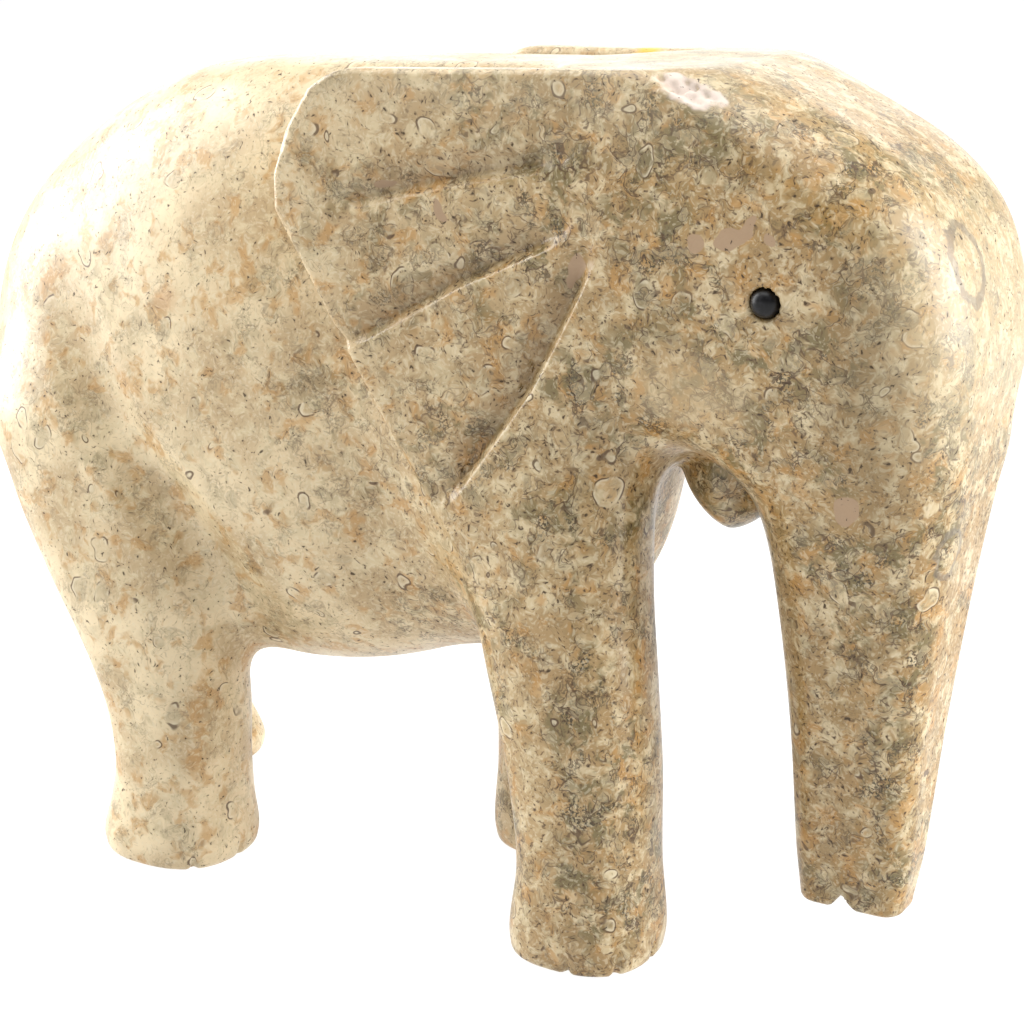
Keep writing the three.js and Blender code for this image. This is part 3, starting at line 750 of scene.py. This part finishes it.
def stirred(tree, place, grain_mm, by_mm):
    """Places pushed about by up to by_mm over lumps of grain_mm."""
    stir = add_node(tree, "ShaderNodeTexNoise", {"Vector": place, "Scale": 1 / grain_mm, "Detail": 1.0})
    push = add_node(tree, "ShaderNodeVectorMath", {0: stir.outputs["Color"], 1: (-0.5,) * 3},
                    operation="ADD").outputs[0]
    inputs = {0: push, 1: (2 * by_mm,) * 3, 2: place}
    return add_node(tree, "ShaderNodeVectorMath", inputs, operation="MULTIPLY_ADD").outputs[0]


def fragments(tree, place, grain_mm, level, line):
    """Smooth lumps of grain_mm cut at one level: masks of their inside and of their thin outline."""
    aside = add_node(tree, "ShaderNodeVectorMath", {0: place, 1: (grain_mm * 10, 0, 0)},
                     operation="ADD").outputs[0]
    lumps = add_node(tree, "ShaderNodeTexNoise", {
        "Vector": aside, "Scale": 1 / grain_mm, "Detail": 1.0, "Roughness": 0.45}).outputs["Fac"]
    off = add_node(tree, "ShaderNodeMath", {0: lumps, 1: level}, operation="SUBTRACT").outputs[0]
    away = add_node(tree, "ShaderNodeMath", {0: off}, operation="ABSOLUTE").outputs[0]
    inside = add_node(tree, "ShaderNodeMapRange", {0: off, 1: 0, 2: line}, **EASED)
    outline = add_node(tree, "ShaderNodeMapRange", {0: away, 1: line * 0.3, 2: line, 3: 1, 4: 0}, **EASED)
    return inside.outputs[0], outline.outputs[0]


def shells(tree, place, spacing_mm, radius_mm, line_mm, share, seed):
    """Cut shells, flattened balls scattered through the stone: masks of outline, inside and the chalky
    wall within the outline, and a tint."""
    here = add_node(tree, "ShaderNodeVectorMath", {0: place, 1: (seed, 2 * seed, 3 * seed)},
                    operation="ADD").outputs[0]
    cells = add_node(tree, "ShaderNodeTexVoronoi", {"Vector": here, "Scale": 1 / spacing_mm})
    random = cells.outputs["Color"]
    offset = add_node(tree, "ShaderNodeVectorMath", {0: here, 1: cells.outputs["Position"]},
                      operation="SUBTRACT").outputs[0]
    lean = add_node(tree, "ShaderNodeVectorMath", {0: random, 1: (-0.5,) * 3}, operation="ADD").outputs[0]
    axis = add_node(tree, "ShaderNodeVectorMath", {0: lean}, operation="NORMALIZE").outputs[0]
    squared, slide = [
        add_node(tree, "ShaderNodeVectorMath", {0: offset, 1: other},
                 operation="DOT_PRODUCT").outputs["Value"]
        for other in (offset, axis)]
    size = slide
    for factor in (slide, SHELL_FLATNESS):
        size = add_node(tree, "ShaderNodeMath", {0: size, 1: factor}, operation="MULTIPLY").outputs[0]
    size = add_node(tree, "ShaderNodeMath", {0: squared, 1: size}, operation="ADD").outputs[0]
    size = add_node(tree, "ShaderNodeMath", {0: size}, operation="SQRT").outputs[0]
    parts = add_node(tree, "ShaderNodeSeparateColor", {"Color": random})
    small, large = radius_mm
    radius = add_node(tree, "ShaderNodeMapRange", {0: parts.outputs[0], 1: 0, 2: 1, 3: small, 4: large},
                      **EASED).outputs[0]
    off = add_node(tree, "ShaderNodeMath", {0: size, 1: radius}, operation="SUBTRACT").outputs[0]
    away = add_node(tree, "ShaderNodeMath", {0: off}, operation="ABSOLUTE").outputs[0]
    edges = (
        (away, line_mm * 0.3, line_mm, 1, 0),
        (off, -line_mm, 0, 1, 0),
        (off, -3.5 * line_mm, -line_mm, 0, 1),
        (parts.outputs[1], share, share + 0.02, 1, 0),
    )
    line, inside, wall, chosen = [
        add_node(tree, "ShaderNodeMapRange", dict(enumerate(edge)), **EASED).outputs[0] for edge in edges]
    wall = add_node(tree, "ShaderNodeMath", {0: wall, 1: inside}, operation="MULTIPLY").outputs[0]
    return [add_node(tree, "ShaderNodeMath", {0: mask, 1: chosen}, operation="MULTIPLY").outputs[0]
            for mask in (line, inside, wall)] + [parts.outputs[2]]


def spot(tree, place, centre, half, lean, soft=0.12):
    """One flattened lump: how many half sizes away a place is, and the mask of the lump. Its centre and
    half sizes are in mm, and it leans about the line across the figure."""
    back = tuple(-v for v in np.array(centre) + FROM_CARVING)
    away = add_node(tree, "ShaderNodeVectorMath", {0: place, 1: back}, operation="ADD").outputs[0]
    turned = add_node(tree, "ShaderNodeVectorRotate",
                      {"Vector": away, "Axis": (0, 1, 0), "Angle": math.radians(lean)}).outputs[0]
    scaled = add_node(tree, "ShaderNodeVectorMath", {0: turned, 1: tuple(1 / v for v in half)},
                      operation="MULTIPLY").outputs[0]
    size = add_node(tree, "ShaderNodeVectorMath", {0: scaled}, operation="LENGTH").outputs["Value"]
    mask = add_node(tree, "ShaderNodeMapRange", {0: size, 1: 1 - soft, 2: 1, 3: 1, 4: 0}, **EASED)
    return size, mask.outputs[0]


def stone_patterns(tree):
    """Places, noises and masks of the stone by name, from the tables of this figure's stone."""
    metres = add_node(tree, "ShaderNodeTexCoord").outputs["Object"]
    read = {"place": add_node(tree, "ShaderNodeVectorMath", {0: metres, 1: (1 / MM,) * 3},
                              operation="MULTIPLY").outputs[0]}
    read["lobed"] = stirred(tree, read["place"], 4.5, 1.5)
    read["curled"] = stirred(tree, read["lobed"], 1.9, 0.8)
    read["along"], _, read["high"] = add_node(
        tree, "ShaderNodeSeparateXYZ", {"Vector": read["lobed"]}).outputs
    for name, source, shift, grain_mm, detail, roughness in NOISES:
        place = read[source]
        if shift:
            place = add_node(tree, "ShaderNodeVectorMath", {0: place, 1: shift}, operation="ADD").outputs[0]
        read[name] = add_node(tree, "ShaderNodeTexNoise", {
            "Vector": place, "Scale": 1 / grain_mm, "Detail": detail, "Roughness": roughness}).outputs["Fac"]
    for name, source, *ends in MASKS:
        inputs = dict(enumerate([read[source], *ends]))
        read[name] = add_node(tree, "ShaderNodeMapRange", inputs, **EASED).outputs[0]
    for name, operation, first, second in JOINED:
        inputs = {0: read[first], 1: read[second]}
        read[name] = add_node(tree, "ShaderNodeMath", inputs, operation=operation).outputs[0]
    return read


def polished_fossil_limestone():
    """Fossil limestone, sawn, carved and polished: a cream ground packed with cut shells, with grey-green
    and rusty clouds, and a soft shine that is duller in the pits."""
    material = bpy.data.materials.new("polished_fossil_limestone")
    material.use_nodes = True
    tree = material.node_tree
    tree.nodes.clear()
    read = stone_patterns(tree)

    # Head and neck are greener and darker than the rump, as the bed runs through the block.
    inputs = {MIX_FACTOR: read["bed"], MIX_UNDER: linear(PALE_GROUND), MIX_OVER: linear(TAN_GROUND)}
    ground = add_node(tree, "ShaderNodeMix", inputs, data_type="RGBA").outputs[MIX_COLOUR]
    for colour, share, *names in COATS:
        ground = coated(tree, ground, linear(colour), share, *[read[name] for name in names])

    # Shell pieces and whole shells, cut by the carver's surface.
    for grain_mm, level, line, fill, fill_share, line_share, kept_from in FRAGMENTS:
        inside, outline = fragments(tree, read["curled"], grain_mm, level, line)
        found = add_node(tree, "ShaderNodeMapRange",
                         {0: read["patches"], 1: kept_from, 2: kept_from + 0.06}, **EASED).outputs[0]
        kept = add_node(tree, "ShaderNodeMath", {0: found, 1: read["rich"]}, operation="MULTIPLY").outputs[0]
        ground = coated(tree, ground, linear(fill), fill_share, inside, kept)
        ground = coated(tree, ground, linear(SHELL_BROWN), line_share, outline, kept)
    for spacing, radii, line, share, seed in SHELL_FAMILIES:
        outline, inside, wall, tint = shells(tree, read["lobed"], spacing, radii, line, share, seed)
        creamy = add_node(tree, "ShaderNodeMapRange", {0: tint, 1: 0.35, 2: 0.65}, **EASED).outputs[0]
        inputs = {MIX_FACTOR: creamy, MIX_UNDER: linear(SHELL_GREY), MIX_OVER: linear(CREAM)}
        fill = add_node(tree, "ShaderNodeMix", inputs, data_type="RGBA").outputs[MIX_COLOUR]
        ground = coated(tree, ground, fill, 0.28, inside)
        ground = coated(tree, ground, linear(CHALK), 0.6, wall, read["whole"])
        ground = coated(tree, ground, linear(SHELL_BROWN), 0.85, outline, read["whole"])
    # Painted highlight: the sawn top and the front of the head made paler in chalk.
    ground = coated(tree, ground, linear(CHALK), 0.32, read["painted_sheen"])

    # Single stains and a painted shade along the head's side-to-front corner, large shells and filled holes
    # that stand out on the right side and the brow.
    for centre, half, lean, colour, share in STAINS_AND_PAINTED_SHADE:
        stain_or_shade = spot(tree, read["curled"], centre, half, lean, 0.7)[1]
        ground = coated(tree, ground, linear(colour), share, stain_or_shade)
    for centre, half, lean, line in BIG_SHELLS:
        off = spot(tree, read["curled"], centre, half, lean)[0]
        for operation, inputs in (("ADD", {1: -1.0}), ("ABSOLUTE", {})):
            off = add_node(tree, "ShaderNodeMath", {0: off, **inputs}, operation=operation).outputs[0]
        ring = add_node(tree, "ShaderNodeMapRange", {0: off, 1: line * 0.5, 2: line, 3: 1, 4: 0}, **EASED)
        ground = coated(tree, ground, linear(RING_GREY), 0.55, ring.outputs[0])
    fillings = [spot(tree, read["lobed"], centre, half, lean, 0.1)[1] for centre, half, lean in FILLED]
    filled = fillings[0]
    for filling in fillings[1:]:
        filled = add_node(tree, "ShaderNodeMath", {0: filled, 1: filling}, operation="MAXIMUM").outputs[0]
    ground = coated(tree, ground, linear(RESIN), 0.95, filled)

    # The break in the head's top edge is pale and dull, and painted shade darkens the grooves in brown.
    (x, y, z), (long, across, deep), fall = CHIP
    broken_out = spot(tree, read["curled"], (x, y + 1, z - 1), (long * 0.95, across, deep),
                      -math.degrees(math.atan(fall)), 0.2)[1]
    ground = coated(tree, ground, linear(BROKEN), 0.88, broken_out)
    groove_shade = add_node(tree, "ShaderNodeAttribute", attribute_name="groove_shade").outputs["Fac"]
    ground = coated(tree, ground, linear(BROWN), 0.28, groove_shade)
    ground = coated(tree, ground, linear(PIT_BROWN), 0.85, read["pit"])

    # Grain and swell left by the polish, and a shine that is duller in pits and on the break.
    grain, swell = [
        add_node(tree, "ShaderNodeMath", {0: read[name], 1: rise}, operation="MULTIPLY").outputs[0]
        for name, rise in (("grain", 0.03), ("swell", 0.4))]
    height = add_node(tree, "ShaderNodeMath", {0: grain, 1: swell}, operation="ADD").outputs[0]
    bump = add_node(tree, "ShaderNodeBump", {"Strength": 0.6, "Distance": MM, "Height": height})
    rough = read["dull"]
    for mask in (read["pit"], broken_out):
        duller = add_node(tree, "ShaderNodeMath", {0: mask, 1: 0.4}, operation="MULTIPLY").outputs[0]
        rough = add_node(tree, "ShaderNodeMath", {0: rough, 1: duller}, operation="ADD").outputs[0]
    shader = add_node(tree, "ShaderNodeBsdfPrincipled", {
        "Base Color": ground, "Roughness": rough, "IOR": STONE_IOR, "Normal": bump.outputs[0]})
    add_node(tree, "ShaderNodeOutputMaterial", {"Surface": shader.outputs[0]})
    return material


def polished_black_glass():
    """Black glass bead, fire-polished: near-black with a soft highlight and faint hand marks."""
    material = bpy.data.materials.new("polished_black_glass")
    material.use_nodes = True
    tree = material.node_tree
    tree.nodes.clear()
    metres = add_node(tree, "ShaderNodeTexCoord").outputs["Object"]
    place = add_node(tree, "ShaderNodeVectorMath", {0: metres, 1: (1 / MM,) * 3},
                     operation="MULTIPLY").outputs[0]
    haze = add_node(tree, "ShaderNodeTexNoise", {
        "Vector": place, "Scale": 1 / HAZE_MM, "Detail": 3.0, "Roughness": 0.55}).outputs["Fac"]
    greyer, rough = [
        add_node(tree, "ShaderNodeMapRange", dict(enumerate((haze,) + ends)), **EASED).outputs[0]
        for ends in ((0.45, 0.7, 0, 1), (0.4, 0.7, 0.3, 0.42))]
    inputs = {MIX_FACTOR: greyer, MIX_UNDER: linear(BEAD_BLACK), MIX_OVER: linear(BEAD_GREY)}
    colour = add_node(tree, "ShaderNodeMix", inputs, data_type="RGBA").outputs[MIX_COLOUR]
    bump = add_node(tree, "ShaderNodeBump", {"Strength": 0.15, "Distance": 0.1 * MM, "Height": haze})
    shader = add_node(tree, "ShaderNodeBsdfPrincipled", {
        "Base Color": colour, "Roughness": rough, "IOR": GLASS_IOR, "Specular IOR Level": 0.3,
        "Normal": bump.outputs[0]})
    add_node(tree, "ShaderNodeOutputMaterial", {"Surface": shader.outputs[0]})
    return material


def carved_elephant(stone):
    """The carving as a fine mesh, with its grooves marked for the painted shade in them."""
    points, triangles = skin()
    points = evened(points, triangles, 2)
    for _ in range(REFINE_ROUNDS):
        points, triangles = refined(points, triangles)
    print("carved elephant:", len(points), "points,", len(triangles), "triangles")
    piece = new_object("carved_elephant", points, triangles, stone)
    # Painted shade: how strongly each point of the grooves is darkened.
    groove_shade = piece.data.attributes.new("groove_shade", "FLOAT", "POINT")
    groove_shade.data.foreach_set("value", groove_shading(points))
    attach(piece, "root")
    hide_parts("stone_elephant")
    return piece


def eye_bead(name, side, glass):
    """Domed bead with a slightly flattened crown, turned about the line out of the head."""
    centre = EYE_CENTRES[side]
    turns, rows = 48, 24
    points, faces = [], []
    for r in range(rows + 1):
        tilt = math.pi * (0.02 + 0.96 * r / rows)
        out = -EYE_RADIUS * math.cos(tilt)
        crown = out - 0.25 * max(out / EYE_RADIUS, 0) ** 4
        for t in range(turns):
            turn = 2 * math.pi * t / turns
            wide = EYE_RADIUS * math.sin(tilt)
            points.append(centre + np.array([wide * math.cos(turn), side * crown, wide * math.sin(turn)]))
    for r in range(rows):
        for t in range(turns):
            a, b = r * turns + t, r * turns + (t + 1) % turns
            quad = [a, b, b + turns, a + turns]
            faces.append(quad if side < 0 else quad[::-1])
    last = rows * turns
    ends = [list(range(turns))[::-1], [last + t for t in range(turns)]]
    faces += [end if side < 0 else end[::-1] for end in ends]
    piece = new_object(name + "_bead", points, faces, glass)
    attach(piece, "root")
    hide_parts(name)
    return piece


def pale_floor():
    """Matt white paper, lit from within as on a light table and wide enough to fill the view."""
    material = bpy.data.materials.new("matt_white_paper")
    material.use_nodes = True
    shader = material.node_tree.nodes["Principled BSDF"]
    shader.inputs["Base Color"].default_value = linear("#6f6e6c")
    shader.inputs["Roughness"].default_value = 0.9
    shader.inputs["Emission Color"].default_value = linear("#ffffff")
    shader.inputs["Emission Strength"].default_value = 0.96
    material.cycles.emission_sampling = "NONE"  # as wide as the view
    bpy.ops.mesh.primitive_plane_add(size=30, location=(0, 0, 0))
    floor = bpy.context.object
    floor.name = "studio_floor"
    floor.data.materials.append(material)


def softbox(name, place, size, watts):
    """Rectangular light aimed at the middle of the figure."""
    light = bpy.data.lights.new(name, "AREA")
    light.shape = "RECTANGLE"
    light.size, light.size_y = size
    light.energy = watts
    lamp = bpy.data.objects.new(name, light)
    bpy.context.scene.collection.objects.link(lamp)
    lamp.location = place
    lamp.rotation_euler = (Vector(LIT_POINT) - Vector(place)).to_track_quat("-Z", "Y").to_euler()


def studio_light():
    """White backdrop that darkens upwards, a softbox on either side, one behind and one overhead."""
    world = bpy.data.worlds.new("pale_room")
    bpy.context.scene.world = world
    world.use_nodes = True
    sky = add_node(world.node_tree, "ShaderNodeTexCoord").outputs["Generated"]
    rise = add_node(world.node_tree, "ShaderNodeSeparateXYZ", {"Vector": sky}).outputs[2]
    paleness = add_node(world.node_tree, "ShaderNodeMapRange", {0: rise, 1: 0.06, 2: 0.26, 3: 1, 4: 0.2},
                        **EASED).outputs[0]
    backdrop = world.node_tree.nodes["Background"]
    backdrop.inputs["Color"].default_value = linear("#ffffff")
    world.node_tree.links.new(paleness, backdrop.inputs["Strength"])
    world.cycles.sampling_method = "NONE"  # smooth and wide, so it is found without being aimed at
    for name, place, size, watts in SOFTBOXES:
        softbox(name, place, size, watts)
    bpy.context.scene.view_settings.view_transform = "Standard"


def photo_camera():
    """Camera of the photograph: 30 degrees ahead of the right side, 15.4 degrees down."""
    camera = bpy.data.cameras.new("photo_camera")
    camera.lens = LENS
    camera.sensor_width = SENSOR
    holder = bpy.data.objects.new("photo_camera", camera)
    bpy.context.scene.collection.objects.link(holder)
    holder.location = CAMERA_PLACE
    holder.rotation_euler = (math.radians(CAMERA_TILT), 0, math.radians(CAMERA_TURN))
    bpy.context.scene.camera = holder


photo_camera()
stone = polished_fossil_limestone()
glass = polished_black_glass()
carved_elephant(stone)
eye_bead("right_eye", -1, glass)
eye_bead("left_eye", 1, glass)
pale_floor()
studio_light()
